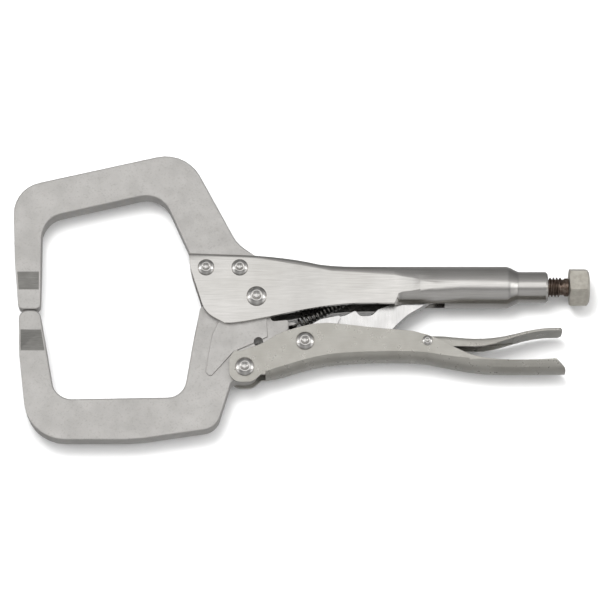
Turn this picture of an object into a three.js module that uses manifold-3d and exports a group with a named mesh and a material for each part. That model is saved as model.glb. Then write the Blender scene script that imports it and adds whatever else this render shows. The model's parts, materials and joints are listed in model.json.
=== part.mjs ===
// Locking C-clamp pliers, lying flat on one side with the jaws closed and locked.
// Millimetres, +Z up, +X along the handles towards the adjusting screw.
// Every piece is drawn about the main pivot at X 0, Y 0, with Z 0 in the middle of the jaws,
// and the whole tool is then moved so that it stands on Z 0 with X 0, Y 0 under its middle.
import * as THREE from "three";
import { mergeVertices } from "three/addons/utils/BufferGeometryUtils.js";
import Module from "manifold-3d";

const wasm = await Module();
wasm.setup();

// ---- Driving dimensions -------------------------------------------------------------------

// Jaws
const JAW_REACH = 110; // main pivot to the middle of the jaw tips
const UPPER_RISE = 72.7; // main pivot up to the top line of the fixed jaw at its rear corner
const LOWER_DROP = 70.3; // main pivot down to the flat bottom of the moving jaw
const ARM_THICKNESS = 10.4; // the two C arms
const TANG_THICKNESS = 12; // the jaws where they sit between the cheeks
const TIP_THICKNESS = 7.6; // the thinned ends of both jaws
const TIP_MEET = -5.45; // height at which the two tips meet
const TIP_GAP = 0.5; // left between the closed tips

// Upper handle
const UPPER_SHEET = 2.2; // thickness of its folded sheet
const TUBE_RADIUS = 10.05; // outside of the round rear half
const TUBE_AXIS = 6.65; // height of the tube and the screw above the main pivot
const TUBE_END = 121; // where the tube starts to taper
const NECK_RADIUS = 7.5;
const NECK_TAPER = 5;
const NECK_LENGTH = 15;

// Lower handle
const LOWER_SHEET = 2;
const LOWER_TAIL_END = 148.7;
const LOBE_RADIUS = 7.4; // rounded front ears of its cheeks, about the handle pivot

// Release lever
const LEVER_SHEET = 1.4;
const LEVER_END = 147.5;

// Toggle link
const LINK_THICKNESS = 6;
const LINK_NOSE_RADIUS = 4;
const LINK_HUB_RADIUS = 6.6;

// Adjusting screw
const SCREW_RADIUS = 4.76;
const SCREW_HEAD_FLATS = 17; // across flats
const SCREW_HEAD_LENGTH = 9.6;
const SCREW_STANDOFF = 10.5; // from the neck to the head

// Tension spring
const SPRING_RADIUS = 2.3; // to the middle of the wire
const SPRING_WIRE = 1.1; // diameter
const SPRING_TURNS = 23;

// Clearances
const SIDE_GAP = 0.3; // between flat faces that lie against each other
const RIVET_GAP = 0.2; // round every rivet
const SCREW_GAP = 0.25; // round the screw in its neck
const LINK_TIP_GAP = 2.5; // open end of the linkage, link nose to screw tip

// ---- Pivots, as [x, y] --------------------------------------------------------------------

const MAIN_PIVOT = [0, 0];
const HANDLE_PIVOT = [-5.6, -34.8];
const LINK_PIVOT = [23.4, -22.2];
const LINK_NOSE = [84, 2.8];
const LEVER_PIVOT = [82.2, -22];
const FRONT_JAW_RIVET = [-24.5, 14.4];
const REAR_JAW_RIVET = [-8.2, 14.4];
const STOP_NOTCH = [0.9, -22]; // bored beside the moving jaw's pad
const SPRING_EAR = [17.3, -13.7];
const SPRING_TAB = [63.5, 11.6];

// ---- Sizes that follow from the ones above ------------------------------------------------

const TIP_X = -JAW_REACH;
const ARM_HALF = ARM_THICKNESS / 2;
const TANG_HALF = TANG_THICKNESS / 2;
const TIP_HALF = TIP_THICKNESS / 2;
const CHEEK_INNER = TANG_HALF + SIDE_GAP; // half the gap between the upper handle's cheeks
const CHEEK_OUTER = CHEEK_INNER + UPPER_SHEET;
const LOBE_INNER = ARM_HALF + SIDE_GAP; // the lower handle's ears close in on the moving jaw
const LOBE_OUTER = LOBE_INNER + LOWER_SHEET;
const LOWER_INNER = CHEEK_INNER;
const LOWER_OUTER = LOWER_INNER + LOWER_SHEET;
const LEVER_HALF = LOWER_INNER - SIDE_GAP - 0.2;
const LINK_HALF = LINK_THICKNESS / 2;
const NECK_START = TUBE_END + NECK_TAPER;
const NECK_END = NECK_START + NECK_LENGTH;
const SCREW_TIP = LINK_NOSE[0] + LINK_NOSE_RADIUS + LINK_TIP_GAP;
const SCREW_HEAD_START = NECK_END + SCREW_STANDOFF;
const THROUGH = 20; // half the length of a cutter that passes right through the tool

// Each rivet: shank radius, head radius, half the thickness it grips, head height.
const MAIN_RIVET = { shank: 3.2, head: 4.95, grip: CHEEK_OUTER, height: 2.2 };
const JAW_RIVET = { shank: 2.6, head: 4.1, grip: CHEEK_OUTER, height: 1.8 };
const HANDLE_RIVET = { shank: 3.1, head: 4.7, grip: LOBE_OUTER, height: 1.9 };
const LINK_RIVET = { shank: 3, head: 4.6, grip: LOWER_OUTER, height: 2 };
const LEVER_RIVET = { shank: 1.6, head: 2.5, grip: LOWER_OUTER, height: 1 };

// ---- Solids -------------------------------------------------------------------------------

// A closed geometry as a solid that can be joined and cut.
function solid(geometry) {
  const bare = geometry.index ? geometry.toNonIndexed() : geometry.clone();
  bare.deleteAttribute("normal");
  bare.deleteAttribute("uv");
  const merged = mergeVertices(bare, 1e-4);
  return new wasm.Manifold(
    new wasm.Mesh({
      numProp: 3,
      vertProperties: merged.attributes.position.array,
      triVerts: new Uint32Array(merged.index.array),
    }),
  );
}

// A solid back as a geometry with flat faces.
function geometryOf(shape) {
  const mesh = shape.getMesh();
  const geometry = new THREE.BufferGeometry();
  geometry.setAttribute("position", new THREE.BufferAttribute(mesh.vertProperties, 3));
  geometry.setIndex(new THREE.BufferAttribute(mesh.triVerts, 1));
  const flat = geometry.toNonIndexed();
  flat.computeVertexNormals();
  return flat;
}

const ARC_STEP = Math.PI / 15; // how far one side of a rounded corner turns

// A flat outline from corners [x, y, radius], each rounded by an arc of that radius,
// which is limited by the sides it has to fit between.
function roundedShape(corners) {
  const points = [];
  const count = corners.length;
  corners.forEach(([x, y, radius = 0], i) => {
    const corner = new THREE.Vector2(x, y);
    const before = corners[(i + count - 1) % count];
    const after = corners[(i + 1) % count];
    const toBefore = new THREE.Vector2(before[0] - x, before[1] - y);
    const toAfter = new THREE.Vector2(after[0] - x, after[1] - y);
    const room = 0.49 * Math.min(toBefore.length(), toAfter.length());
    toBefore.normalize();
    toAfter.normalize();
    const half = Math.acos(THREE.MathUtils.clamp(toBefore.dot(toAfter), -1, 1)) / 2;
    const reach = Math.min(radius / Math.tan(half), room);
    if (reach < 1e-3) {
      points.push(corner);
      return;
    }
    const arc = reach * Math.tan(half);
    const middle = toBefore.clone().add(toAfter).normalize();
    const centre = corner.clone().addScaledVector(middle, arc / Math.sin(half));
    const start = corner.clone().addScaledVector(toBefore, reach);
    const turn = (Math.PI - 2 * half) * Math.sign(toAfter.cross(toBefore));
    const sides = Math.ceil(Math.abs(turn) / ARC_STEP);
    for (let step = 0; step <= sides; step += 1) {
      points.push(start.clone().rotateAround(centre, (turn * step) / sides));
    }
  });
  return new THREE.Shape(points);
}

// A plate of the given outline between two heights.
function plate(shape, low, high) {
  const geometry = new THREE.ExtrudeGeometry(shape, { depth: high - low, bevelEnabled: false });
  return solid(geometry.translate(0, 0, low));
}

// A plate centred on the middle plane.
function middlePlate(shape, half) {
  return plate(shape, -half, half);
}

// A round bar along Z, centred on the middle plane.
function bar([x, y], radius, half, sides = 24) {
  const geometry = new THREE.CylinderGeometry(radius, radius, 2 * half, sides);
  return solid(geometry.rotateX(Math.PI / 2).translate(x, y, 0));
}

// A box between two corners.
function box([x0, y0, z0], [x1, y1, z1]) {
  const geometry = new THREE.BoxGeometry(x1 - x0, y1 - y0, z1 - z0);
  return solid(geometry.translate((x0 + x1) / 2, (y0 + y1) / 2, (z0 + z1) / 2));
}

// A smooth line through [x, y] points, read at any x between them.
function lineThrough(points) {
  const slopes = points.map((point, i) => {
    const before = points[Math.max(i - 1, 0)];
    const after = points[Math.min(i + 1, points.length - 1)];
    return (after[1] - before[1]) / (after[0] - before[0]);
  });
  return (x) => {
    const last = points.length - 2;
    const next = points.findIndex((point) => point[0] > x);
    const i = next < 0 ? last : THREE.MathUtils.clamp(next - 1, 0, last);
    const [x0, y0] = points[i];
    const [x1, y1] = points[i + 1];
    const span = x1 - x0;
    const t = THREE.MathUtils.clamp((x - x0) / span, 0, 1);
    const rise = y1 - y0;
    const ease = t * t * (3 - 2 * t);
    const lead = t * (1 - t) * (1 - t) * span * slopes[i];
    const trail = t * t * (t - 1) * span * slopes[i + 1];
    return y0 + rise * ease + lead + trail;
  };
}

// One cross-section of a folded handle at x: a rectangle with rounded top and bottom corners.
// A bottom corner whose arc is centred nearer the middle than its radius leaves a crease
// where it meets the flat side. steps counts the sides of a top and of a bottom corner.
function section({ x, half, top, bottom, topRadius, bottomRadius, bottomCentre, steps }) {
  const low = bottomCentre ?? half - bottomRadius;
  const start = Math.acos(Math.min((half - low) / bottomRadius, 1));
  const corners = [
    { z: half - topRadius, y: top - topRadius, r: topRadius, from: 0, to: Math.PI / 2 },
    { z: low, y: bottom + bottomRadius, r: bottomRadius, from: -Math.PI / 2, to: -start },
  ];
  const quarters = corners.map(({ z, y, r, from, to }, i) => {
    const count = steps[i];
    return Array.from({ length: count + 1 }, (_, step) => {
      const angle = from + ((to - from) * step) / count;
      return [z + r * Math.cos(angle), y + r * Math.sin(angle)];
    });
  });
  const right = [...quarters[1], ...quarters[0]];
  const left = [...right].reverse().map(([z, y]) => [-z, y]);
  return [...right, ...left].map(([z, y]) => new THREE.Vector3(x, y, z));
}

// A solid skinned over a row of cross-sections.
function loft(stations) {
  const rings = stations.map(section);
  const around = rings[0].length;
  const positions = rings.flat().flatMap((point) => point.toArray());
  const index = [];
  for (let ring = 0; ring < rings.length - 1; ring += 1) {
    for (let i = 0; i < around; i += 1) {
      const a = ring * around + i;
      const b = ring * around + ((i + 1) % around);
      index.push(a, b, b + around);
      index.push(a, b + around, a + around);
    }
  }
  const last = (rings.length - 1) * around;
  for (let i = 1; i < around - 1; i += 1) {
    index.push(0, i + 1, i);
    index.push(last, last + i, last + i + 1);
  }
  const geometry = new THREE.BufferGeometry();
  geometry.setAttribute("position", new THREE.Float32BufferAttribute(positions, 3));
  geometry.setIndex(index);
  const made = solid(geometry);
  if (made.volume() > 0) return made;
  const turned = index.map((value, i) => index[i - (i % 3) + (2 - (i % 3))]);
  geometry.setIndex(turned);
  return solid(geometry);
}

// Even steps from one value to another, both included.
function evenSteps(from, to, count) {
  return Array.from({ length: count + 1 }, (_, i) => from + ((to - from) * i) / count);
}

// ---- Jaws ---------------------------------------------------------------------------------

// Cuts both sides of a jaw down to the tip's thickness, between where the slope starts and
// where it ends, and on to the end of the tip.
function thinTip(jaw, slopeStart, slopeEnd, tipEnd) {
  const wide = 14;
  const outside = 3;
  const side = new THREE.Shape();
  side.moveTo(slopeStart, ARM_HALF);
  side.lineTo(slopeEnd, TIP_HALF);
  side.lineTo(tipEnd, TIP_HALF);
  side.lineTo(tipEnd, ARM_HALF + outside);
  side.lineTo(slopeStart, ARM_HALF + outside);
  side.closePath();
  const wedge = new THREE.ExtrudeGeometry(side, { depth: 2 * wide, bevelEnabled: false });
  const turn = new THREE.Matrix4().set(
    0, 0, 1, TIP_X - wide,
    1, 0, 0, 0,
    0, 1, 0, 0,
    0, 0, 0, 1,
  );
  const upper = solid(wedge.applyMatrix4(turn));
  return jaw.subtract(upper).subtract(upper.mirror([0, 0, 1]));
}

const ARM_SLOPE = 0.229; // rise of the fixed jaw's top line towards its rear corner
const FIXED_TANG_FLOOR = 10; // the fixed jaw stops here, clear of the moving jaw's eye

function fixedJaw() {
  const tipEnd = TIP_MEET + TIP_GAP / 2;
  const topAt = (x) => UPPER_RISE + ARM_SLOPE * (x + 43.6);
  const arm = 21;
  const rearX = 0.4;
  const outline = roundedShape([
    [TIP_X - 5.3, tipEnd, 2.4],
    [TIP_X - 7.4, 19, 60],
    [TIP_X - 9, topAt(TIP_X - 9), 15.5],
    [-34.8, topAt(-34.8), 19],
    [-9.6, 27.4, 18],
    [rearX, 20.4, 1],
    [rearX, FIXED_TANG_FLOOR, 1],
    [-29, FIXED_TANG_FLOOR, 2],
    [-32.2, 21.6, 30],
    [-46.6, topAt(-46.6) - arm + 2.6, 13],
    [TIP_X + 5.2, topAt(TIP_X + 5.2) - arm + 2.4, 12],
    [TIP_X + 5.3, tipEnd, 2.4],
  ]);
  const slopeStart = 13.2;
  const slopeEnd = 4.6;
  const body = middlePlate(outline, ARM_HALF);
  const tang = roundedShape([
    [-30.4, 20.6, 1],
    [rearX, 20.4, 1],
    [rearX, FIXED_TANG_FLOOR, 1],
    [-28.6, FIXED_TANG_FLOOR, 1],
  ]);
  const whole = body.add(middlePlate(tang, TANG_HALF));
  const drilled = whole
    .subtract(bar(FRONT_JAW_RIVET, JAW_RIVET.shank + RIVET_GAP, THROUGH))
    .subtract(bar(REAR_JAW_RIVET, JAW_RIVET.shank + RIVET_GAP, THROUGH));
  return thinTip(drilled, slopeStart, slopeEnd, tipEnd - 5);
}

const EAR_HALF = 1.5; // half the thickness of the spring's ear

function movingJaw() {
  const tipEnd = TIP_MEET - TIP_GAP / 2;
  const outline = roundedShape([
    [TIP_X + 5, tipEnd, 3.8],
    [TIP_X - 5.1, tipEnd, 4],
    [TIP_X - 4.4, -27, 60],
    [TIP_X + 0.8, -LOWER_DROP, 20],
    [-58, -LOWER_DROP, 60],
    [-19.3, -LOWER_DROP + 5.7, 9],
    [-12.1, -41.2, 3],
    [-5, -41.3, 3],
    [1.5, -33, 3],
    [15.4, -20, 1],
    [15.2, -11, 1],
    [7.4, -11.8, 1.6],
    [5, -6, 2],
    [-2, 6, 4],
    [-27.2, -4.6, 3.4],
    [-30.4, -21, 60],
    [-35, -LOWER_DROP + 21.1, 9],
    [TIP_X + 13.2, -LOWER_DROP + 20, 10],
    [TIP_X + 6.7, -15, 30],
  ]);
  const pad = roundedShape([
    [4.4, -6, 0],
    [5.4, -19.6, 0.6],
    [-11.2, -27.2, 4],
    [-22.2, -39.6, 1.6],
    [-24.5, -37, 1.6],
    [-21.6, -18.8, 8],
    [-17, -9, 4],
    [-2, 4, 4],
  ]);
  const ear = roundedShape([
    [SPRING_EAR[0] + 2.2, SPRING_EAR[1] - 2.2, 2.1],
    [SPRING_EAR[0] + 2.2, SPRING_EAR[1] + 2.2, 2.1],
    [10, SPRING_EAR[1] + 3, 1],
    [10, SPRING_EAR[1] - 3, 1],
  ]);
  const eyeRadius = FIXED_TANG_FLOOR - 1.4;
  const whole = middlePlate(outline, ARM_HALF)
    .add(middlePlate(pad, TANG_HALF))
    .add(bar(MAIN_PIVOT, eyeRadius, TANG_HALF))
    .add(bar(HANDLE_PIVOT, LOBE_RADIUS - 0.9, ARM_HALF))
    .add(middlePlate(ear, EAR_HALF));
  const drilled = whole
    .subtract(bar(MAIN_PIVOT, MAIN_RIVET.shank + RIVET_GAP, THROUGH))
    .subtract(bar(HANDLE_PIVOT, HANDLE_RIVET.shank + RIVET_GAP, THROUGH))
    .subtract(bar(STOP_NOTCH, 2.3, THROUGH, 20))
    .subtract(bar(SPRING_EAR, SPRING_WIRE / 2 + 0.5, THROUGH, 16));
  const slopeStart = -26.2;
  const slopeEnd = -15.4;
  return thinTip(drilled, slopeStart, slopeEnd, tipEnd + 5);
}

// ---- Upper handle -------------------------------------------------------------------------

const CURL_START = 66.5; // where the cheeks' lower edges turn in to close the tube
const UPPER_FRONT = -36;
const WEB_START = 1; // the web over the cheeks starts behind the fixed jaw

const upperTop = lineThrough([
  [UPPER_FRONT, 22.1],
  [-3, 20.9],
  [11, 19.8],
  [21, 18.5],
  [31, 16.4],
  [42, 15.5],
  [CURL_START, TUBE_AXIS + TUBE_RADIUS - 0.8],
]);
const upperBottom = lineThrough([
  [UPPER_FRONT, -13.2],
  [-12, -13.2],
  [4, -10.5],
  [16, -8],
  [30, -5.5],
  [45, -3.8],
  [CURL_START, TUBE_AXIS - TUBE_RADIUS - 0.2],
]);
const upperHalf = lineThrough([
  [UPPER_FRONT, CHEEK_OUTER],
  [12, CHEEK_OUTER],
  [36, CHEEK_OUTER + 0.8],
  [CURL_START, CHEEK_OUTER + 0.9],
]);
const upperTopRadius = lineThrough([
  [UPPER_FRONT, 2],
  [0, 2],
  [20, 3.2],
  [45, 4],
  [CURL_START, 6],
]);

const UPPER_STEPS = [5, 6];

// Cross-sections of the upper handle, as pushed in by the sheet's thickness on every side.
// Along the curl the bottom is an arc about the tube's axis, clipped by the flat cheeks,
// which fade as the sheet becomes round.
function upperStations(inset) {
  const front = [UPPER_FRONT, ...evenSteps(-12, CURL_START, 13)].map((x) => ({
    x,
    half: upperHalf(x) - inset,
    top: upperTop(x) - inset,
    bottom: inset ? upperBottom(x) - 5 : upperBottom(x),
    topRadius: Math.max(upperTopRadius(x) - inset, 0.4),
    bottomRadius: 0.1,
    steps: UPPER_STEPS,
  }));
  const open = upperHalf(CURL_START);
  const openTop = upperTop(CURL_START);
  const round = TUBE_AXIS + TUBE_RADIUS;
  const curl = [
    [0.4, 0, 1, 0.95],
    [1.2, 0.02, 4, 3.7],
    [2, 0.05, 7, 6.6],
    [4, 0.1, TUBE_RADIUS, 8.9],
    [8, 0.3, TUBE_RADIUS, 9.1],
    [12.5, 0.6, TUBE_RADIUS, 9.45],
    [20, 0.9, TUBE_RADIUS, 9.75],
    [32, 1, TUBE_RADIUS, TUBE_RADIUS],
  ].map(([along, grown, arc, chord]) => {
    const half = open + (TUBE_RADIUS - open) * grown;
    const start = upperTopRadius(CURL_START);
    const topRadius = start + (TUBE_RADIUS - start) * Math.min(along / 20, 1);
    const radius = Math.max(arc - inset, 0.4);
    return {
      x: CURL_START + along,
      half: half - inset,
      top: THREE.MathUtils.lerp(openTop, round, Math.min(along / 20, 1)) - inset,
      bottom: TUBE_AXIS - TUBE_RADIUS + inset,
      topRadius: Math.min(topRadius, half) - inset,
      bottomRadius: radius,
      bottomCentre: Math.min(Math.max(half - chord, 0), half - inset - 0.01),
      steps: UPPER_STEPS,
    };
  });
  return [...front, ...curl];
}

function roundStation(x, radius) {
  return {
    x,
    half: radius,
    top: TUBE_AXIS + radius,
    bottom: TUBE_AXIS - radius,
    topRadius: radius,
    bottomRadius: radius,
    steps: UPPER_STEPS,
  };
}

function upperHandle() {
  const past = 1;
  const boreRadius = SCREW_RADIUS + SCREW_GAP;
  const outside = loft([
    ...upperStations(0),
    roundStation(TUBE_END, TUBE_RADIUS),
    roundStation(TUBE_END + 0.35 * NECK_TAPER, TUBE_RADIUS - 0.5),
    roundStation(NECK_START, NECK_RADIUS + 0.4),
    roundStation(NECK_START + 1, NECK_RADIUS),
    roundStation(NECK_END - 1, NECK_RADIUS),
    roundStation(NECK_END, NECK_RADIUS - 0.8),
  ]);
  const inside = loft([
    ...upperStations(UPPER_SHEET),
    roundStation(TUBE_END - 2, TUBE_RADIUS - UPPER_SHEET),
    roundStation(NECK_START - 2, boreRadius),
    roundStation(NECK_END + past, boreRadius),
  ]);
  const cheek = roundedShape([
    [-32.9, 30, 0],
    [-32.9, 17, 30],
    [-24.8, -8, 12],
    [-14, -13.9, 14],
    [0, -30, 0],
    [NECK_END + past, -30, 0],
    [NECK_END + past, 30, 0],
  ]);
  const cheekProfile = middlePlate(cheek, THROUGH);
  const mouth = box([UPPER_FRONT - past, -30, -CHEEK_INNER], [WEB_START, 30, CHEEK_INNER]);
  const slotHalf = LINK_HALF + 1.2;
  const slotStart = CURL_START - 4;
  const slotEnd = SCREW_TIP + 0.5;
  const slot = box([slotStart, -10, -slotHalf], [slotEnd, TUBE_AXIS - 5, slotHalf]);
  const tab = roundedShape([
    [SPRING_TAB[0] - 2.2, SPRING_TAB[1] - 2.2, 2],
    [SPRING_TAB[0] + 2.2, SPRING_TAB[1] - 2.2, 2],
    [SPRING_TAB[0] + 2.6, TUBE_AXIS + TUBE_RADIUS - UPPER_SHEET + 1, 0],
    [SPRING_TAB[0] - 2.6, TUBE_AXIS + TUBE_RADIUS - UPPER_SHEET + 1, 0],
  ]);
  return outside
    .intersect(cheekProfile)
    .subtract(inside)
    .subtract(mouth)
    .subtract(slot)
    .add(middlePlate(tab, EAR_HALF))
    .subtract(bar(SPRING_TAB, SPRING_WIRE / 2 + 0.5, 4, 16))
    .subtract(bar(MAIN_PIVOT, MAIN_RIVET.shank + RIVET_GAP, THROUGH))
    .subtract(bar(FRONT_JAW_RIVET, JAW_RIVET.shank + RIVET_GAP, THROUGH))
    .subtract(bar(REAR_JAW_RIVET, JAW_RIVET.shank + RIVET_GAP, THROUGH));
}

// ---- Lower handle -------------------------------------------------------------------------

const LOWER_FRONT = -16;
const LOWER_STEPS = [1, 5];
const LOWER_BEND = 7; // outside radius of the underside where it meets the cheeks
const LOWER_WEB_START = 4.4; // the web starts behind the cheeks' rounded ears

const lowerTop = lineThrough([
  [LOWER_FRONT, -24],
  [-8, -27.2],
  [-3.4, -25.5],
  [2.4, -23.3],
  [11, -18.5],
  [24, -14.3],
  [34, -13.2],
  [46, -14.4],
  [64, -16.3],
  [75, -17.2],
  [88, -21.2],
  [99, -27.2],
  [107, -30],
  [118, -31.3],
  [132, -31.4],
  [LOWER_TAIL_END + 2, -30.4],
]);
const lowerBottom = lineThrough([
  [LOWER_WEB_START, -39.6],
  [11, -38.2],
  [21, -35.2],
  [32, -32.4],
  [46, -31],
  [64, -30.4],
  [80, -31],
  [94, -33.8],
  [107, -36],
  [122, -36.6],
  [LOWER_TAIL_END + 2, -36.4],
]);
const lowerHalf = lineThrough([
  [LOWER_FRONT, LOBE_OUTER],
  [5, LOBE_OUTER],
  [6.4, LOBE_OUTER],
  [9, LOWER_OUTER],
  [12, LOWER_OUTER],
  [LOWER_TAIL_END, LOWER_OUTER],
]);

// How far above the bottom the crease between the round underside and the flat cheek runs.
const lowerCrease = lineThrough([
  [LOWER_WEB_START, 2.6],
  [11, 3.2],
  [70, 3.2],
  [88, 3.7],
  [107, 4.9],
  [LOWER_TAIL_END + 2, 4.9],
]);

// Cross-sections of the lower handle, as pushed in by the sheet's thickness below and at the
// sides; the inside runs out through the open top.
function lowerStations(inset, floorless) {
  const tail = LOWER_TAIL_END + 2;
  const xs = [LOWER_WEB_START, 6.4, 9, ...evenSteps(13, tail, 20)];
  const web = xs.map((x) => {
    const inward = Math.sqrt(LOWER_BEND ** 2 - (LOWER_BEND - lowerCrease(x)) ** 2);
    return {
      x,
      half: lowerHalf(x) - inset,
      top: inset ? lowerTop(x) + 8 : lowerTop(x),
      bottom: lowerBottom(x) + inset,
      topRadius: 0.1,
      bottomRadius: LOWER_BEND - inset,
      bottomCentre: lowerHalf(x) - inward,
      steps: LOWER_STEPS,
    };
  });
  const ears = [LOWER_FRONT, -8, -3.4, 0, LOWER_WEB_START - 0.6].map((x) => ({
    x,
    half: LOBE_OUTER - inset,
    top: inset ? lowerTop(x) + 12 : lowerTop(x),
    bottom: floorless,
    topRadius: 0.1,
    bottomRadius: 0.1,
    steps: LOWER_STEPS,
  }));
  return [...ears, ...web];
}

function lowerHandle() {
  const outside = loft(lowerStations(0, -46));
  const inside = loft(lowerStations(LOWER_SHEET, -50));
  const [pivotX, pivotY] = HANDLE_PIVOT;
  const radius = LOBE_RADIUS;
  const side = roundedShape([
    [pivotX - radius, pivotY + radius + 0.6, radius + 0.4],
    [pivotX - radius, pivotY - radius, radius - 0.2],
    [pivotX + 3.6, pivotY - radius, 5],
    [2.2, -38.4, 1],
    [LOWER_WEB_START, -38.4, 0],
    [LOWER_WEB_START, -50, 0],
    [LOWER_TAIL_END, -50, 0],
    [LOWER_TAIL_END, -35.2, 3],
    [142.8, -29.6, 2.4],
    [138, -20, 0],
    [20, 0, 0],
    [6, -10, 0],
    [-2.4, -25, 5],
  ]);
  const tailPlan = roundedShape([
    [LOWER_FRONT - 2, -20, 0],
    [LOWER_FRONT - 2, 20, 0],
    [100, 20, 0],
    [LOWER_TAIL_END + 0.2, LOWER_OUTER + 0.2, 4],
    [LOWER_TAIL_END + 0.2, -LOWER_OUTER - 0.2, 4],
    [100, -20, 0],
  ]);
  const plan = middlePlate(tailPlan, 60).rotate([90, 0, 0]);
  return outside
    .intersect(middlePlate(side, THROUGH))
    .subtract(inside)
    .intersect(plan)
    .subtract(bar(HANDLE_PIVOT, HANDLE_RIVET.shank + RIVET_GAP, THROUGH))
    .subtract(bar(LINK_PIVOT, LINK_RIVET.shank + RIVET_GAP, THROUGH))
    .subtract(bar(LEVER_PIVOT, LEVER_RIVET.shank + RIVET_GAP, THROUGH, 20));
}

// ---- Toggle link --------------------------------------------------------------------------

function toggleLink() {
  const [hubX, hubY] = LINK_PIVOT;
  const [noseX, noseY] = LINK_NOSE;
  const arm = roundedShape([
    [hubX - 2, hubY + LINK_HUB_RADIUS - 0.4, 2],
    [30.8, -10.6, 4],
    [42.8, -8, 4],
    [47.8, -5.4, 1.4],
    [50.2, -8.4, 3],
    [55.6, -8, 3],
    [58.6, -5, 2],
    [66, -2.4, 20],
    [noseX - 8, noseY + 3.2, 12],
    [noseX, noseY + LINK_NOSE_RADIUS, 4],
    [noseX + LINK_NOSE_RADIUS, noseY, 4],
    [noseX, noseY - LINK_NOSE_RADIUS, 4],
    [noseX - 5.4, -4.8, 6],
    [73, -8, 20],
    [67.6, -13, 10],
    [64.6, -16.6, 2],
    [44, -20.4, 20],
    [hubX + 4, hubY - LINK_HUB_RADIUS + 0.6, 2],
  ]);
  const hub = roundedShape([
    [hubX - 2, hubY + LINK_HUB_RADIUS - 0.4, 2],
    [30.8, -10.6, 4],
    [41.5, -8.4, 1],
    [33, -24.4, 4],
    [hubX + 2, hubY - LINK_HUB_RADIUS + 0.4, 2],
  ]);
  return middlePlate(arm, LINK_HALF)
    .add(middlePlate(hub, TANG_HALF))
    .add(bar(LINK_PIVOT, LINK_HUB_RADIUS, TANG_HALF))
    .add(bar(LINK_NOSE, LINK_NOSE_RADIUS, LINK_HALF, 24))
    .subtract(bar(LINK_PIVOT, LINK_RIVET.shank + RIVET_GAP, THROUGH));
}

// ---- Release lever ------------------------------------------------------------------------

const LEVER_STEPS = [3, 1];
const LEVER_BEND = 2.6; // outside radius of the fold between its back and its flanges
const LEVER_NOSE = 66;
const FLANGE_END = 124; // its side flanges run out here, and the flat tail goes on

const leverTop = lineThrough([
  [LEVER_NOSE, -20.4],
  [76, -19.2],
  [88, -18.6],
  [103, -20],
  [114, -19.9],
  [122, -18.9],
  [132, -16.6],
  [140, -15.5],
  [LEVER_END + 1, -15.4],
]);
const leverDepth = lineThrough([
  [LEVER_NOSE, 3.4],
  [76, 6.4],
  [88, 6.2],
  [98, 4.6],
  [110, 4],
  [FLANGE_END, LEVER_SHEET + 0.3],
  [LEVER_END + 1, LEVER_SHEET],
]);
const leverHalf = lineThrough([
  [LEVER_NOSE, LEVER_HALF],
  [100, LEVER_HALF],
  [112, LEVER_HALF + 0.6],
  [126, LEVER_HALF + 1.7],
  [LEVER_END + 1, LEVER_HALF + 1.8],
]);

function leverStations(inset, to, count) {
  return evenSteps(LEVER_NOSE, to, count).map((x) => ({
    x: x - (inset && x === LEVER_NOSE ? 1 : 0),
    half: leverHalf(x) - inset,
    top: leverTop(x) - inset,
    bottom: inset ? leverTop(x) - 14 : leverTop(x) - leverDepth(x),
    topRadius: Math.max(Math.min(LEVER_BEND, leverDepth(x) / 2) - inset, 0.3),
    bottomRadius: 0.1,
    steps: LEVER_STEPS,
  }));
}

function releaseLever() {
  const outside = loft(leverStations(0, LEVER_END + 1, 17));
  const inside = loft(leverStations(LEVER_SHEET, FLANGE_END, 12));
  const plan = roundedShape([
    [LEVER_NOSE, -20, 0],
    [LEVER_NOSE, 20, 0],
    [120, 20, 0],
    [LEVER_END, LEVER_HALF + 2, 7.4],
    [LEVER_END, -LEVER_HALF - 2, 7.4],
    [120, -20, 0],
  ]);
  const tail = middlePlate(plan, 60).rotate([90, 0, 0]);
  return outside
    .subtract(inside)
    .intersect(tail)
    .subtract(bar(LEVER_PIVOT, LEVER_RIVET.shank + RIVET_GAP, THROUGH, 20));
}

// ---- Tension spring -----------------------------------------------------------------------

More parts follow.
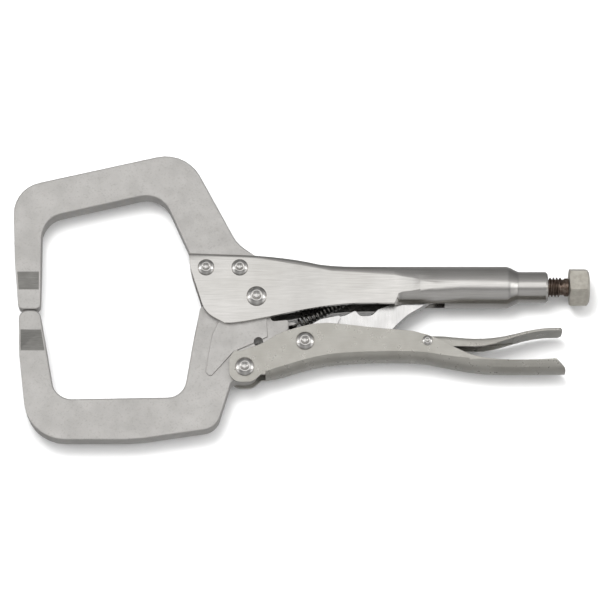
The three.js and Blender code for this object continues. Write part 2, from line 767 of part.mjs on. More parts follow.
// The wire's path: a hook through the jaw's ear, the coil, and a hook through the handle's tab.
class SpringPath extends THREE.Curve {
  constructor() {
    super();
    const ear = new THREE.Vector3(...SPRING_EAR, 0);
    const tab = new THREE.Vector3(...SPRING_TAB, 0);
    const along = tab.clone().sub(ear).normalize();
    const up = new THREE.Vector3(0, 0, 1);
    const across = up.clone().cross(along);
    const hook = 4;
    const coilStart = ear.clone().addScaledVector(along, hook);
    const coilEnd = tab.clone().addScaledVector(along, -hook);
    const points = [];
    const past = EAR_HALF + SPRING_WIRE + 0.2;
    points.push(ear.clone().addScaledVector(up, -past));
    points.push(ear.clone());
    points.push(ear.clone().addScaledVector(up, past - 0.5));
    points.push(ear.clone().addScaledVector(up, SPRING_RADIUS).addScaledVector(along, 1));
    const count = SPRING_TURNS * COIL_STEPS;
    for (let i = 0; i <= count; i += 1) {
      const turn = (2 * Math.PI * i) / COIL_STEPS;
      const centre = coilStart.clone().lerp(coilEnd, i / count);
      centre.addScaledVector(up, SPRING_RADIUS * Math.cos(turn));
      centre.addScaledVector(across, SPRING_RADIUS * Math.sin(turn));
      points.push(centre);
    }
    points.push(tab.clone().addScaledVector(up, SPRING_RADIUS).addScaledVector(along, -1));
    points.push(tab.clone().addScaledVector(up, past - 0.5));
    points.push(tab.clone());
    points.push(tab.clone().addScaledVector(up, -past));
    this.points = points;
  }

  getPoint(t) {
    const last = this.points.length - 1;
    const place = t * last;
    const i = Math.min(Math.floor(place), last - 1);
    return this.points[i].clone().lerp(this.points[i + 1], place - i);
  }

  getPointAt(t) {
    return this.getPoint(t);
  }

  getTangentAt(t) {
    const small = 0.5 / (this.points.length - 1);
    const before = this.getPoint(Math.max(t - small, 0));
    return this.getPoint(Math.min(t + small, 1)).sub(before).normalize();
  }
}

const COIL_STEPS = 7; // steps in one turn
const WIRE_SIDES = 5;

function tensionSpring() {
  const path = new SpringPath();
  const wire = new THREE.Shape();
  for (let i = 0; i < WIRE_SIDES; i += 1) {
    const angle = (2 * Math.PI * i) / WIRE_SIDES;
    const x = (SPRING_WIRE / 2) * Math.cos(angle);
    const y = (SPRING_WIRE / 2) * Math.sin(angle);
    if (i === 0) wire.moveTo(x, y);
    else wire.lineTo(x, y);
  }
  wire.closePath();
  return new THREE.ExtrudeGeometry(wire, {
    steps: path.points.length - 1,
    extrudePath: path,
    bevelEnabled: false,
  });
}

// ---- Adjusting screw ----------------------------------------------------------------------

// Turns a lathe profile of [radius, along] points to lie along X at the screw's axis.
function turnedAlongX(profile, sides) {
  const points = profile.map(([radius, along]) => new THREE.Vector2(radius, along));
  const geometry = new THREE.LatheGeometry(points, sides);
  return geometry.rotateZ(-Math.PI / 2).translate(0, TUBE_AXIS, 0);
}

function screwRod() {
  const root = SCREW_RADIUS - 0.9;
  const chamfer = 1;
  const collar = SCREW_HEAD_START - 1.6;
  return turnedAlongX(
    [
      [0, SCREW_TIP],
      [root, SCREW_TIP],
      [SCREW_RADIUS, SCREW_TIP + chamfer],
      [SCREW_RADIUS, collar],
      [root, collar + 0.4],
      [root, SCREW_HEAD_START - SIDE_GAP],
      [0, SCREW_HEAD_START - SIDE_GAP],
    ],
    28,
  );
}

const HEAD_TURN = THREE.MathUtils.degToRad(20); // how the hexagon stands at rest

function screwHead() {
  const corner = SCREW_HEAD_FLATS / Math.sqrt(3);
  const hexagon = new THREE.CylinderGeometry(corner, corner, SCREW_HEAD_LENGTH, 6);
  const middle = SCREW_HEAD_START + SCREW_HEAD_LENGTH / 2;
  hexagon.rotateZ(-Math.PI / 2).rotateX(HEAD_TURN).translate(middle, TUBE_AXIS, 0);
  const end = SCREW_HEAD_START + SCREW_HEAD_LENGTH;
  const washer = 0.6;
  const facing = turnedAlongX(
    [
      [0, SCREW_HEAD_START],
      [corner - 1.2, SCREW_HEAD_START],
      [corner + 0.4, SCREW_HEAD_START + washer],
      [corner + 0.4, end - 1.8],
      [corner - 2.6, end],
      [0, end],
    ],
    36,
  );
  return geometryOf(solid(hexagon).intersect(solid(facing)));
}

// ---- Rivets -------------------------------------------------------------------------------

// A rivet with a flat-topped ring round a dimple on both ends.
function rivet({ shank, head, grip, height }) {
  const half = grip + SIDE_GAP / 2;
  const top = grip + height;
  const under = grip + 0.1;
  const end = [
    [shank, half - 0.4],
    [shank, under],
    [head, under],
    [head, under + 0.35 * height],
    [0.76 * head, top],
    [0.5 * head, top],
    [0.22 * head, top - 0.5 * height],
    [0, top - 0.5 * height],
  ];
  const mirrored = end.map(([radius, along]) => [radius, -along]).reverse();
  const points = [...mirrored, ...end].map(([r, z]) => new THREE.Vector2(r, z));
  return new THREE.LatheGeometry(points, 18).rotateX(Math.PI / 2);
}

// ---- Assembly -----------------------------------------------------------------------------

function material(color, roughness, metalness = 0.9) {
  return new THREE.MeshStandardMaterial({ color, roughness, metalness });
}

const FINISH = {
  blasted: () => material(0xbab8b4, 0.6),
  polished: () => material(0xd9d6cf, 0.25),
  pressed: () => material(0xb5b2ab, 0.38),
  bright: () => material(0xe4e2de, 0.3),
  spring: () => material(0x55524c, 0.4),
  thread: () => material(0x4a3f38, 0.5),
  head: () => material(0xb0a99a, 0.45),
  rivet: () => material(0xcfccc6, 0.25),
};

const tool = new THREE.Group();

function piece(name, geometry, finish, [x, y] = [0, 0]) {
  const mesh = new THREE.Mesh(geometry, finish());
  mesh.name = name;
  mesh.position.set(x, y, 0);
  tool.add(mesh);
}

piece("fixed_jaw", geometryOf(fixedJaw()), FINISH.blasted);
piece("moving_jaw", geometryOf(movingJaw()), FINISH.blasted);
piece("upper_handle", geometryOf(upperHandle()), FINISH.polished);
piece("lower_handle", geometryOf(lowerHandle()), FINISH.pressed);
piece("toggle_link", geometryOf(toggleLink()), FINISH.bright);
piece("release_lever", geometryOf(releaseLever()), FINISH.pressed);
piece("tension_spring", tensionSpring(), FINISH.spring);
piece("adjusting_screw_rod", screwRod(), FINISH.thread);
piece("adjusting_screw_head", screwHead(), FINISH.head);
piece("main_pivot_rivet", rivet(MAIN_RIVET), FINISH.rivet, MAIN_PIVOT);
piece("fixed_jaw_rivet_front", rivet(JAW_RIVET), FINISH.rivet, FRONT_JAW_RIVET);
piece("fixed_jaw_rivet_rear", rivet(JAW_RIVET), FINISH.rivet, REAR_JAW_RIVET);
piece("handle_pivot_rivet", rivet(HANDLE_RIVET), FINISH.rivet, HANDLE_PIVOT);
piece("link_pivot_rivet", rivet(LINK_RIVET), FINISH.rivet, LINK_PIVOT);
piece("release_lever_rivet", rivet(LEVER_RIVET), FINISH.rivet, LEVER_PIVOT);

const bounds = new THREE.Box3().setFromObject(tool, true);
const middle = bounds.getCenter(new THREE.Vector3());
tool.position.set(-middle.x, -middle.y, -bounds.min.z);

const pliers = new THREE.Group();
pliers.add(tool);

export default pliers;
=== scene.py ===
"""Locking C-clamp pliers: forged jaws, folded handles and small working parts on a pale floor."""

import json
import math

import bmesh
import bpy
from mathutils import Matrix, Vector


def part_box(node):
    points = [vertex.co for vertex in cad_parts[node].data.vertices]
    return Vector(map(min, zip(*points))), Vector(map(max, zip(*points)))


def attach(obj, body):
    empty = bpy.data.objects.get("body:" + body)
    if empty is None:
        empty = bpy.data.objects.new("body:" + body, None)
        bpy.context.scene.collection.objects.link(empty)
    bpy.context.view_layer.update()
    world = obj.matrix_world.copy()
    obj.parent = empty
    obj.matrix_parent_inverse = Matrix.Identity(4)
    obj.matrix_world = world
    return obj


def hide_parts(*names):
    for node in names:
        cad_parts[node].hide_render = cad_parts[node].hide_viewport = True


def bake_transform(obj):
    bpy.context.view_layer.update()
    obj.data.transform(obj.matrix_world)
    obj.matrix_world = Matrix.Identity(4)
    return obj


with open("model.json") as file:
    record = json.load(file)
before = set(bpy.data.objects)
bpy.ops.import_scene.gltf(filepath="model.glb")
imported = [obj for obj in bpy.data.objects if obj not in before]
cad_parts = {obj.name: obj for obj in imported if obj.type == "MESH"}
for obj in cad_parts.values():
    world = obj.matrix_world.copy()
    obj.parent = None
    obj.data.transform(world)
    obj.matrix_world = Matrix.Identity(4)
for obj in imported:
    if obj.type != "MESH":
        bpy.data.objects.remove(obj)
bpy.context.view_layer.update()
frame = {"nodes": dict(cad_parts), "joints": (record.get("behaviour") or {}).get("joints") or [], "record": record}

MM = 0.001
NODES = frame["nodes"]
JOINTS = {joint["name"]: joint for joint in frame["joints"]}
MAIN_PIVOT = Vector(JOINTS["jaw_open"]["pos_m"])
MID_Z = MAIN_PIVOT.z


# ---- Materials ----------------------------------------------------------------------------


class Finish:
    """A metal finish: its node tree, with short calls for the nodes it is made of."""

    def __init__(self, name, metallic=1.0):
        self.material = bpy.data.materials.new(name)
        self.material.use_nodes = True
        self.tree = self.material.node_tree
        self.shader = self.tree.nodes["Principled BSDF"]
        self.shader.inputs["Metallic"].default_value = metallic
        self.place = self.tree.nodes.new("ShaderNodeTexCoord").outputs["Object"]

    def join(self, source, target):
        self.tree.links.new(source, target)

    def stretched(self, scale):
        """Object coordinates scaled along each axis, so that a pattern can run along the piece."""
        mapping = self.tree.nodes.new("ShaderNodeMapping")
        mapping.inputs["Scale"].default_value = scale
        self.join(self.place, mapping.inputs["Vector"])
        return mapping.outputs["Vector"]

    def noise(self, size, detail=3.0, roughness=0.5, stretch=(1, 1, 1)):
        """Noise whose blotches are about this many millimetres across."""
        node = self.tree.nodes.new("ShaderNodeTexNoise")
        node.inputs["Scale"].default_value = 1 / (size * MM)
        node.inputs["Detail"].default_value = detail
        node.inputs["Roughness"].default_value = roughness
        self.join(self.stretched(stretch), node.inputs["Vector"])
        return node.outputs["Fac"]

    def pits(self, size):
        """Distance to scattered points, about this many millimetres apart."""
        node = self.tree.nodes.new("ShaderNodeTexVoronoi")
        node.inputs["Scale"].default_value = 1 / (size * MM)
        self.join(self.place, node.inputs["Vector"])
        return node.outputs["Distance"]

    def spread(self, value, source, target):
        """Maps one (low, high) range of a value to another."""
        node = self.tree.nodes.new("ShaderNodeMapRange")
        node.inputs["From Min"].default_value, node.inputs["From Max"].default_value = source
        node.inputs["To Min"].default_value, node.inputs["To Max"].default_value = target
        self.join(value, node.inputs["Value"])
        return node.outputs["Result"]

    def mixed(self, share, first, second):
        """The first colour where share is 0 and the second where it is 1. Either may be a socket."""
        node = self.tree.nodes.new("ShaderNodeMix")
        node.data_type = "RGBA"
        self.join(share, node.inputs["Factor"])
        for value, socket in ((first, node.inputs[6]), (second, node.inputs[7])):
            if isinstance(value, tuple):
                socket.default_value = (*value, 1)
            else:
                self.join(value, socket)
        return node.outputs[2]

    def colour(self, value):
        self.join(value, self.shader.inputs["Base Color"])

    def roughness(self, value):
        self.join(value, self.shader.inputs["Roughness"])

    def bumps(self, *layers):
        """Bump layers, each a height from 0 to 1 and its depth in millimetres."""
        normal = None
        for height, depth in layers:
            bump = self.tree.nodes.new("ShaderNodeBump")
            bump.inputs["Distance"].default_value = depth * MM
            self.join(height, bump.inputs["Height"])
            if normal is not None:
                self.join(normal, bump.inputs["Normal"])
            normal = bump.outputs["Normal"]
        self.join(normal, self.shader.inputs["Normal"])


def blasted_forging():
    """Nickel over a blasted forging: matte, pitted, with soft stains and darker specks."""
    finish = Finish("blasted_nickel", metallic=0.75)
    stains = finish.spread(finish.noise(14, 4, 0.6), (0.35, 0.65), (0, 1))
    specks = finish.spread(finish.noise(0.9, 2, 0.5), (0.56, 0.68), (0, 0.35))
    base = finish.mixed(stains, (0.44, 0.428, 0.412), (0.51, 0.497, 0.48))
    finish.colour(finish.mixed(specks, base, (0.33, 0.315, 0.30)))
    finish.roughness(finish.spread(finish.noise(5, 3, 0.6), (0.3, 0.7), (0.40, 0.52)))
    hammered = finish.noise(3.2, 3, 0.55)
    finish.bumps((hammered, 0.06), (finish.pits(0.55), 0.02), (finish.noise(0.35), 0.012))
    return finish.material


def ground_slope_painted_shade():
    """The slopes at the jaws' tips: smoother than the forging and ground across the jaw. Their much darker colour
    is painted shade, standing for the dark that the slopes mirror.
    """
    finish = Finish("ground_slope_painted_shade")
    lines = finish.noise(0.4, 2, 0.5, (0.08, 1, 1))
    shades = finish.spread(lines, (0.3, 0.7), (0, 1))
    # Painted shade: these tones sit far below the forging's, so that the slopes look shaded; the lines between
    # them are the grinding marks.
    finish.colour(finish.mixed(shades, (0.215, 0.21, 0.198), (0.275, 0.27, 0.255)))
    finish.roughness(finish.spread(finish.noise(3, 3, 0.6), (0.3, 0.7), (0.30, 0.42)))
    finish.bumps((lines, 0.006), (finish.noise(1.5, 2, 0.5), 0.02))
    return finish.material


def polished_sheet():
    """Nickel over polished sheet: soft reflections, faint polishing lines along the handle."""
    finish = Finish("polished_nickel")
    lines = finish.noise(0.35, 2, 0.5, (0.03, 1, 1))
    haze = finish.spread(finish.noise(22, 3, 0.5), (0.35, 0.65), (0, 1))
    base = finish.mixed(haze, (0.57, 0.555, 0.53), (0.63, 0.615, 0.595))
    finish.colour(finish.mixed(finish.spread(lines, (0.3, 0.7), (0, 0.25)), base, (0.49, 0.475, 0.45)))
    finish.roughness(finish.spread(lines, (0.3, 0.7), (0.17, 0.27)))
    finish.bumps((finish.noise(9, 2, 0.4), 0.05), (lines, 0.0025))
    return finish.material


def pressed_sheet():
    """Nickel over pressed sheet: satin, with draw marks along the fold."""
    finish = Finish("satin_nickel", metallic=0.6)
    lines = finish.noise(0.5, 2, 0.55, (0.06, 1, 1))
    haze = finish.spread(finish.noise(11, 4, 0.6), (0.35, 0.65), (0, 1))
    base = finish.mixed(haze, (0.325, 0.314, 0.286), (0.375, 0.364, 0.336))
    finish.colour(finish.mixed(finish.spread(lines, (0.35, 0.65), (0, 0.3)), base, (0.28, 0.268, 0.24)))
    finish.roughness(finish.spread(finish.noise(4, 3, 0.6), (0.3, 0.7), (0.25, 0.37)))
    finish.bumps((finish.noise(6, 2, 0.4), 0.04), (lines, 0.005))
    return finish.material


def bright_stamping():
    """Bright plate on the flat toggle link, with faint grinding lines across it."""
    finish = Finish("bright_nickel")
    lines = finish.noise(0.3, 2, 0.5, (1, 0.05, 1))
    shades = finish.spread(lines, (0.3, 0.7), (0, 1))
    finish.colour(finish.mixed(shades, (0.70, 0.69, 0.675), (0.80, 0.79, 0.78)))
    finish.roughness(finish.spread(finish.noise(5, 3, 0.6), (0.3, 0.7), (0.24, 0.36)))
    finish.bumps((finish.noise(5, 2, 0.4), 0.04), (lines, 0.003))
    return finish.material


def rivet_steel():
    """Bright rivet heads, polished by the setting tool, with a faint haze."""
    finish = Finish("rivet_steel")
    haze = finish.spread(finish.noise(1.6, 3, 0.6), (0.35, 0.65), (0, 1))
    finish.colour(finish.mixed(haze, (0.58, 0.565, 0.545), (0.68, 0.665, 0.645)))
    finish.roughness(finish.spread(finish.noise(0.8, 3, 0.6), (0.3, 0.7), (0.12, 0.24)))
    finish.bumps((finish.noise(1.3, 2, 0.5), 0.03),)
    return finish.material


def spring_steel():
    """Dark oiled wire, finely rough, with brighter worn patches."""
    finish = Finish("spring_steel")
    worn = finish.spread(finish.noise(3, 3, 0.6), (0.45, 0.65), (0, 1))
    finish.colour(finish.mixed(worn, (0.13, 0.125, 0.115), (0.27, 0.26, 0.24)))
    finish.roughness(finish.spread(finish.noise(1, 2, 0.5), (0.3, 0.7), (0.25, 0.4)))
    finish.bumps((finish.noise(0.25, 2, 0.5), 0.006),)
    return finish.material


def oiled_thread():
    """Brown, oiled thread, rubbed brighter in places."""
    finish = Finish("oiled_thread")
    rubbed = finish.spread(finish.noise(1.8, 4, 0.65), (0.42, 0.62), (0, 1))
    finish.colour(finish.mixed(rubbed, (0.16, 0.115, 0.09), (0.33, 0.265, 0.22)))
    finish.roughness(finish.spread(finish.noise(0.9, 3, 0.6), (0.3, 0.7), (0.28, 0.45)))
    finish.bumps((finish.noise(0.3, 2, 0.5), 0.01),)
    return finish.material


def dull_zinc():
    """Dull, mottled beige zinc on the screw's head."""
    finish = Finish("dull_zinc", metallic=0.45)
    mottle = finish.spread(finish.noise(2.4, 4, 0.65), (0.4, 0.62), (0, 1))
    finish.colour(finish.mixed(mottle, (0.34, 0.32, 0.28), (0.43, 0.41, 0.365)))
    finish.roughness(finish.spread(finish.noise(1.2, 3, 0.6), (0.3, 0.7), (0.30, 0.46)))
    finish.bumps((finish.noise(2, 3, 0.5), 0.04), (finish.noise(0.3), 0.008))
    return finish.material


FINISHES = {
    "blasted_nickel": blasted_forging(),
    "polished_nickel": polished_sheet(),
    "satin_nickel": pressed_sheet(),
    "bright_nickel": bright_stamping(),
    "rivet_steel": rivet_steel(),
    "spring_steel": spring_steel(),
    "oiled_thread": oiled_thread(),
    "dull_zinc": dull_zinc(),
}
GROUND_PAINTED_SHADE_FINISH = ground_slope_painted_shade()
SLOT_OF = {part["node"]: part["material_slot"] for part in frame["record"]["subparts"]}
for name, node in NODES.items():
    node.data.materials.clear()
    node.data.materials.append(FINISHES[SLOT_OF[name]])


# ---- Mesh helpers -------------------------------------------------------------------------

EDGE_ANGLE = 28  # degrees that an outward edge turns before it is eased
FLAT_ANGLE = 0.6  # degrees between faces that are taken as one flat face
CAD_WELD = 0.002 * MM  # corners of the CAD's triangles that are closer than this are one
WELD = 0.001 * MM  # the same for points of the pieces made here


def outer_edges(bm):
    """The outward edges that are sharp enough to be eased."""
    limit = math.radians(EDGE_ANGLE)
    pairs = [edge for edge in bm.edges if len(edge.link_faces) == 2]
    return [edge for edge in pairs if edge.is_convex and edge.calc_face_angle(0) > limit]


def finished(name, bm, node, body, smooth_angle=40):
    """Turns a bmesh into a piece that stands for one node and rides with a body."""
    mesh = bpy.data.meshes.new(name)
    bm.to_mesh(mesh)
    bm.free()
    for face in mesh.polygons:
        face.use_smooth = True
    mesh.set_sharp_from_angle(angle=math.radians(smooth_angle))
    mesh.materials.append(FINISHES[SLOT_OF[node]])
    piece = bpy.data.objects.new(name, mesh)
    bpy.context.scene.collection.objects.link(piece)
    even = piece.modifiers.new("even_shading", "WEIGHTED_NORMAL")
    even.keep_sharp = True
    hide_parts(node)
    if body is not None:
        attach(piece, body)
    return piece


def body_of(node):
    for body, members in frame["record"]["behaviour"]["bodies"].items():
        if node in members:
            return body


def ease(bm, edges, radius, segments, clamp):
    """Rounds edges to a radius in millimetres."""
    bmesh.ops.bevel(
        bm,
        geom=edges,
        offset=radius * MM,
        offset_type="OFFSET",
        segments=segments,
        profile=0.5,
        affect="EDGES",
        clamp_overlap=clamp,
        material=-1,
    )


def cad_copy(node):
    """A node's shape with its flat faces whole."""
    bm = bmesh.new()
    bm.from_mesh(NODES[node].data)
    bmesh.ops.remove_doubles(bm, verts=bm.verts, dist=CAD_WELD)
    bmesh.ops.dissolve_limit(bm, angle_limit=math.radians(FLAT_ANGLE), verts=bm.verts, edges=bm.edges)
    return bm


def eased(node, name, radius, segments=2, clamp=True, smooth_angle=40):
    """A copy of a node's shape with its outer edges eased to a radius in millimetres."""
    bm = cad_copy(node)
    ease(bm, outer_edges(bm), radius, segments, clamp)
    finished(name, bm, node, body_of(node), smooth_angle)


# ---- Forged and folded pieces -------------------------------------------------------------

TIP_REACH = 24 * MM  # from the jaw's outer side to well behind its ground slopes
SMALLEST_SLOPE = 60 * MM * MM  # the area that tells a ground slope from an eased edge
SLOPE_UPRIGHT = (0.9, 0.998)  # how much of a slope's normal points up or down
SLOPE_LEAN = 0.06  # and the least of it that points along the jaw's tip
# The slopes' material: grinding lines and a colour darkened as painted shade.
GROUND_PAINTED_SHADE_INDEX = 1  # material index of the slopes
NOTCH = Vector((0.9, -22, 0)) * MM  # middle of the round notch beside the pad, from the main pivot
NOTCH_REACH = 2.6 * MM
PAD_LEVEL = 5.6 * MM  # only the pad's face is farther than this from the jaws' middle plane
OUTLINE_RADIUS = 0.8  # of a jaw's outline, in millimetres
PAD_RADIUS = 0.35  # of its pad's edges, in millimetres


def grind_tip_paint_shade(bm):
    """Gives the slopes that thin a jaw's tip their ground finish, painted darker as shade."""
    outer = min(vert.co.x for vert in bm.verts)
    for face in bm.faces:
        upright = SLOPE_UPRIGHT[0] < abs(face.normal.z) < SLOPE_UPRIGHT[1]
        sloped = upright and abs(face.normal.y) > SLOPE_LEAN
        at_tip = face.calc_center_median().x < outer + TIP_REACH
        if sloped and at_tip and face.calc_area() > SMALLEST_SLOPE:
            face.material_index = GROUND_PAINTED_SHADE_INDEX


def jaw_forging(node):
    """A forged jaw: well-rounded outline, a lightly eased pad and ground slopes at its tip, painted darker as
    shade.

    Edges that lie wholly between the upper handle's cheeks stay sharp, because they are hidden there,
    and so does the rim of the round notch beside the pad.
    """
    bm = cad_copy(node)
    low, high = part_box("upper_handle")
    outline = []
    pad = []
    for edge in outer_edges(bm):
        ends = [vert.co for vert in edge.verts]
        if all(low.x < end.x < high.x and low.y < end.y < high.y for end in ends):
            continue
        if all((end - MAIN_PIVOT - NOTCH).xy.length < NOTCH_REACH for end in ends):
            continue
        raised = [abs(end.z - MID_Z) > PAD_LEVEL for end in ends]
        if all(raised):
            pad.append(edge)
        elif not any(raised):
            outline.append(edge)
    ease(bm, outline, OUTLINE_RADIUS, segments=3, clamp=False)
    pad = [edge for edge in pad if edge.is_valid]
    ease(bm, pad, PAD_RADIUS, segments=2, clamp=False)
    grind_tip_paint_shade(bm)
    piece = finished(node + "_forging", bm, node, body_of(node))
    # The tip slopes' material: grinding lines with painted shade.
    piece.data.materials.append(GROUND_PAINTED_SHADE_FINISH)


jaw_forging("fixed_jaw")
jaw_forging("moving_jaw")
eased("upper_handle", "upper_handle_shell", 0.3)
eased("lower_handle", "lower_handle_channel", 0.3, segments=8, smooth_angle=14)
eased("toggle_link", "toggle_link_stamping", 0.35, clamp=False)
eased("release_lever", "release_lever_pressing", 0.25)
eased("adjusting_screw_head", "screw_hexagon_head", 0.35, segments=3)


# ---- Rivets -------------------------------------------------------------------------------

# A set head from its rim to the floor of its dimple: share of its radius, share of its height.
HEAD_PROFILE = [
    (1.00, 0.00),
    (1.00, 0.12),
    (0.97, 0.27),
    (0.90, 0.46),
    (0.80, 0.67),
    (0.68, 0.85),
    (0.58, 0.95),
    (0.50, 1.00),
    (0.45, 0.96),
    (0.40, 0.84),
    (0.34, 0.67),
    (0.28, 0.53),
    (0.22, 0.46),
    (0.15, 0.43),
]
SHANK_SHARE = 0.63  # of the head's radius
RIVET_STEPS = 48  # in a full turn
CHEEK = {  # half the thickness that each rivet's heads close on
    "main_pivot_rivet": 8.6 * MM,
    "fixed_jaw_rivet_front": 8.6 * MM,
    "fixed_jaw_rivet_rear": 8.6 * MM,
    "handle_pivot_rivet": 7.6 * MM,
    "link_pivot_rivet": 8.4 * MM,
    "release_lever_rivet": 8.4 * MM,
}


def turned(bm, profile, centre):
    """Spins a profile of (radius, z) points, in metres, a full turn round a vertical axis."""
    points = [bm.verts.new((centre.x + radius, centre.y, z)) for radius, z in profile]
    edges = [bm.edges.new(pair) for pair in zip(points, points[1:])]
    bmesh.ops.spin(
        bm,
        geom=points + edges,
        cent=centre,
        axis=(0, 0, 1),
        angle=math.tau,
        steps=RIVET_STEPS,
        use_merge=True,
    )


def rivet(node):
    """A rivet with a dimpled head on both ends and a plain shank between them."""
    low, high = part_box(node)
    centre = (low + high) / 2
    radius = (high.x - low.x) / 2
    under = centre.z + CHEEK[node]
    height = high.z - under
    head = [(radius * SHANK_SHARE, under)]
    head += [(radius * share, under + height * rise) for share, rise in HEAD_PROFILE]
    head.append((0, head[-1][1]))
    foot = [(r, 2 * centre.z - z) for r, z in reversed(head)]
    bm = bmesh.new()
    turned(bm, foot + head, centre)
    bmesh.ops.remove_doubles(bm, verts=bm.verts, dist=WELD)
    bmesh.ops.recalc_face_normals(bm, faces=bm.faces)
    finished(node + "_set", bm, node, body_of(node), smooth_angle=50)


for rivet_node in CHEEK:
    rivet(rivet_node)


# ---- Adjusting screw's rod ----------------------------------------------------------------

THREAD_PITCH = 1.5875 * MM
THREAD_DEPTH = 0.95 * MM
THREAD_STEPS = 24  # in one turn
THREAD_START = 1.4 * MM  # from the rod's tip
THREAD_STOP = 0.4 * MM  # left plain before the collar
RIDGE_SINK = 0.15 * MM  # how far the ridge's foot stands in the core
RIDGE_FOOT = 0.46  # half the ridge's width at its foot, as a share of the pitch
RIDGE_CREST = 0.07  # the same at its crest
CORE_STEPS = 40  # in a full turn
TIP_CHAMFER = 0.5 * MM  # off the core's radius
TIP_CHAMFER_LENGTH = 0.8 * MM
COLLAR_LENGTH = 1.9 * MM
COLLAR_SLOPE = 0.6 * MM  # length of the cone from the core up to the collar
COLLAR_STEP = 0.35 * MM  # the collar's radius is this much less than the thread's
COLLAR_CHAMFER = 0.25 * MM


def capped(bm):
    """Closes every open end."""
    bmesh.ops.holes_fill(bm, edges=[edge for edge in bm.edges if edge.is_boundary], sides=0)


def screw_rod():
    """A core with a chamfered tip, a helical thread and a plain collar under the head."""
    low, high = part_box("adjusting_screw_rod")
    axis_y = (low.y + high.y) / 2
    crest = (high.y - low.y) / 2
    root = crest - THREAD_DEPTH
    collar_end = high.x
    collar_start = collar_end - COLLAR_LENGTH
    collar = crest - COLLAR_STEP
    bm = bmesh.new()
    profile = [
        (0, low.x),
        (root - TIP_CHAMFER, low.x),
        (root, low.x + TIP_CHAMFER_LENGTH),
        (root, collar_start - COLLAR_SLOPE),
        (collar, collar_start),
        (collar, collar_end - COLLAR_CHAMFER),
        (collar - COLLAR_CHAMFER, collar_end),
        (0, collar_end),
    ]
    points = [bm.verts.new((x, axis_y, MID_Z + radius)) for radius, x in profile]
    edges = [bm.edges.new(pair) for pair in zip(points, points[1:])]
    centre = Vector((0, axis_y, MID_Z))
    bmesh.ops.spin(
        bm,
        geom=points + edges,
        cent=centre,
        axis=(1, 0, 0),
        angle=math.tau,
        steps=CORE_STEPS,
        use_merge=True,
    )
    bmesh.ops.remove_doubles(bm, verts=bm.verts, dist=WELD)
    start = low.x + THREAD_START
    turns = int((collar_start - THREAD_STOP - start) / THREAD_PITCH)
    foot = root - RIDGE_SINK
    ridge = [(-RIDGE_FOOT, foot), (-RIDGE_CREST, crest), (RIDGE_CREST, crest), (RIDGE_FOOT, foot)]
    corners = [(start + share * THREAD_PITCH, axis_y, MID_Z + radius) for share, radius in ridge]
    ring = [bm.verts.new(corner) for corner in corners]
    sides = [bm.edges.new((ring[i - 1], ring[i])) for i in range(len(ring))]
    bmesh.ops.spin(
        bm,
        geom=ring + sides,
        cent=centre,
        axis=(1, 0, 0),
        dvec=(THREAD_PITCH / THREAD_STEPS, 0, 0),
        angle=math.tau * turns,
        steps=turns * THREAD_STEPS,
    )
    capped(bm)
    bmesh.ops.recalc_face_normals(bm, faces=bm.faces)
    finished("screw_rod_threaded", bm, "adjusting_screw_rod", "screw_rod", smooth_angle=50)


screw_rod()


# ---- Tension spring -----------------------------------------------------------------------

EAR = MAIN_PIVOT + Vector((17.3, -13.7, 0)) * MM  # hole in the moving jaw's ear
TAB = MAIN_PIVOT + Vector((63.5, 11.6, 0)) * MM  # hole in the upper handle's tab
COIL_RADIUS = 2.3 * MM
WIRE_RADIUS = 0.55 * MM
COIL_TURNS = 23
COIL_STEPS = 16
HOOK_LENGTH = 4 * MM  # from the hole to the first turn
# A hook from its free end: height and distance along the spring. Both hooks have this shape.
HOOK = [
    (-2.4 * MM, 0),
    (0, 0),
    (1.7 * MM, 0),
    (2.15 * MM, 0.7 * MM),
    (COIL_RADIUS, 2 * MM),
]


def spring():
    """Close coils between two hooks: one curve of round wire, made a mesh."""
    along = (TAB - EAR).normalized()
    up = Vector((0, 0, 1))
    across = up.cross(along)
    first = EAR + along * HOOK_LENGTH
    last = TAB - along * HOOK_LENGTH
    path = [EAR + up * rise + along * reach for rise, reach in HOOK]
    count = COIL_TURNS * COIL_STEPS
    for i in range(count + 1):
        turn = math.tau * i / COIL_STEPS
        centre = first.lerp(last, i / count)
        path.append(centre + (up * math.cos(turn) + across * math.sin(turn)) * COIL_RADIUS)
    path += [TAB + up * rise - along * reach for rise, reach in reversed(HOOK)]
    data = bpy.data.curves.new("spring_wire", "CURVE")
    data.dimensions = "3D"
    data.bevel_depth = WIRE_RADIUS
    data.bevel_resolution = 2
    data.use_fill_caps = True
    line = data.splines.new("POLY")
    line.points.add(len(path) - 1)
    for point, place in zip(line.points, path):
        point.co = (*place, 1)
    wire = bpy.data.objects.new("spring_wire", data)
    bpy.context.scene.collection.objects.link(wire)
    bm = bmesh.new()
    bm.from_mesh(wire.to_mesh())
    bpy.data.objects.remove(wire)
    bmesh.ops.remove_doubles(bm, verts=bm.verts, dist=WELD)
    bmesh.ops.recalc_face_normals(bm, faces=bm.faces)
    coil = finished("tension_spring_coil", bm, "tension_spring", None, smooth_angle=60)
    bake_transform(coil)


spring()


# ---- Camera, floor and light --------------------------------------------------------------

VIEW_TILT = math.radians(15)  # the camera leans this far back from straight overhead
VIEW_WIDTH = 291 * MM
AIM = Vector((-0.4 * MM, -0.5 * MM, MID_Z))  # the middle of the view
LENS = 200
SENSOR = 36
FLOOR_RADIUS = 2.2
FLOOR_SIDES = 96
RIM_HEIGHT = 1.4
RIM_SPREAD = 1.35  # the rim's upper edge against its lower one


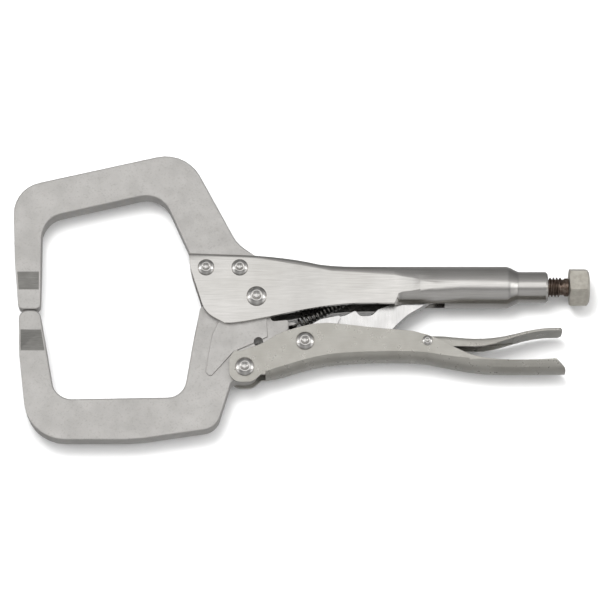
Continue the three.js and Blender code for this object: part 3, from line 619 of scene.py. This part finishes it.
def camera():
    data = bpy.data.cameras.new("camera")
    data.lens = LENS
    data.sensor_width = SENSOR
    seat = bpy.data.objects.new("camera", data)
    bpy.context.scene.collection.objects.link(seat)
    distance = VIEW_WIDTH / SENSOR * LENS
    seat.location = AIM + distance * Vector((0, -math.sin(VIEW_TILT), math.cos(VIEW_TILT)))
    seat.rotation_euler = (VIEW_TILT, 0, 0)
    bpy.context.scene.camera = seat


def floor():
    """A wide pale disc with a sloping rim all round, left out of the metal's reflections."""
    bm = bmesh.new()
    bmesh.ops.create_circle(bm, cap_ends=True, segments=FLOOR_SIDES, radius=FLOOR_RADIUS)
    boundary = [edge for edge in bm.edges if edge.is_boundary]
    rim = bmesh.ops.extrude_edge_only(bm, edges=boundary)["geom"]
    verts = [item for item in rim if isinstance(item, bmesh.types.BMVert)]
    bmesh.ops.translate(bm, verts=verts, vec=(0, 0, RIM_HEIGHT))
    bmesh.ops.scale(bm, verts=verts, vec=(RIM_SPREAD, RIM_SPREAD, 1))
    mesh = bpy.data.meshes.new("floor")
    bm.to_mesh(mesh)
    bm.free()
    paper = bpy.data.materials.new("floor_paper")
    paper.use_nodes = True
    shader = paper.node_tree.nodes["Principled BSDF"]
    shader.inputs["Base Color"].default_value = (0.93, 0.93, 0.93, 1)
    shader.inputs["Roughness"].default_value = 0.9
    shader.inputs["Specular IOR Level"].default_value = 0.1
    mesh.materials.append(paper)
    sheet = bpy.data.objects.new("floor", mesh)
    bpy.context.scene.collection.objects.link(sheet)
    sheet.visible_glossy = False


def softbox(name, toward, distance, size, watts):
    """A square area light out along a direction, aimed at the tool and left out of its reflections."""
    data = bpy.data.lights.new(name, "AREA")
    data.size = size
    data.energy = watts
    lamp = bpy.data.objects.new(name, data)
    bpy.context.scene.collection.objects.link(lamp)
    away = Vector(toward).normalized()
    lamp.location = away * distance
    lamp.rotation_euler = away.to_track_quat("Z", "Y").to_euler()
    lamp.visible_glossy = False


# Brightness of the studio by the angle round the tool's length, in degrees from straight up
# towards the fixed jaw's side: a bright panel overhead, grey on the lower handle's side and darker
# on the fixed jaw's.
PANELS = [
    (-180, 0.38),
    (-130, 0.34),
    (-112, 0.24),
    (-98, 0.20),
    (-84, 0.34),
    (-66, 0.50),
    (-40, 0.52),
    (-27, 0.32),
    (-21, 0.34),
    (-13, 0.85),
    (-5, 1.25),
    (20, 1.30),
    (31, 0.52),
    (60, 0.33),
    (90, 0.26),
    (104, 0.22),
    (150, 0.36),
]
# The share of that brightness along the tool's length, from its jaws' end to its screw's end.
ENDS = [
    (-1.0, 2.2),
    (-0.86, 1.9),
    (-0.7, 0.9),
    (-0.45, 0.74),
    (-0.075, 0.84),
    (-0.03, 0.99),
    (0.03, 1.1),
    (0.12, 1.08),
    (0.45, 0.8),
    (0.7, 0.9),
    (0.86, 1.9),
    (1.0, 2.2),
]
RAMP_TOP = 2.5  # the brightness that a ramp's white stands for


def ramp(tree, value, low, high, stops):
    """Brightness read off a row of (place, level) stops, for a value that runs from low to high."""
    share = tree.nodes.new("ShaderNodeMapRange")
    share.inputs["From Min"].default_value = low
    share.inputs["From Max"].default_value = high
    tree.links.new(value, share.inputs["Value"])
    levels = tree.nodes.new("ShaderNodeValToRGB")
    tree.links.new(share.outputs["Result"], levels.inputs["Fac"])
    elements = levels.color_ramp.elements
    while len(elements) < len(stops):
        elements.new(0.5)
    for element, (place, level) in zip(elements, stops):
        element.position = (place - low) / (high - low)
        element.color = (level / RAMP_TOP, level / RAMP_TOP, level / RAMP_TOP, 1)
    return levels.outputs["Color"]


def maths(tree, operation, *values):
    """A math node of two values, each a socket or a number."""
    node = tree.nodes.new("ShaderNodeMath")
    node.operation = operation
    for value, socket in zip(values, node.inputs):
        if isinstance(value, float):
            socket.default_value = value
        else:
            tree.links.new(value, socket)
    return node.outputs["Value"]


def studio():
    """The studio that the metal mirrors: a long bright panel overhead, grey walls and bright ends."""
    world = bpy.data.worlds.new("studio")
    bpy.context.scene.world = world
    world.use_nodes = True
    tree = world.node_tree
    background = tree.nodes["Background"]
    axes = tree.nodes.new("ShaderNodeSeparateXYZ")
    tree.links.new(tree.nodes.new("ShaderNodeTexCoord").outputs["Generated"], axes.inputs["Vector"])
    turn = maths(tree, "ARCTAN2", axes.outputs["Y"], axes.outputs["Z"])
    stops = [(math.radians(angle), level) for angle, level in PANELS]
    panels = ramp(tree, turn, -math.pi, math.pi, stops)
    ends = ramp(tree, axes.outputs["X"], -1, 1, ENDS)
    # Each of the two ramps gives its levels divided by RAMP_TOP.
    strength = maths(tree, "MULTIPLY", ends, RAMP_TOP * RAMP_TOP)
    tree.links.new(panels, background.inputs["Color"])
    tree.links.new(strength, background.inputs["Strength"])


camera()
floor()
studio()
softbox("key_light", toward=(-0.2, 0.28, 1), distance=1.2, size=0.5, watts=10)
softbox("fill_light", toward=(0, 0, 1), distance=1.3, size=1.8, watts=8)
bpy.context.scene.view_settings.view_transform = "Standard"
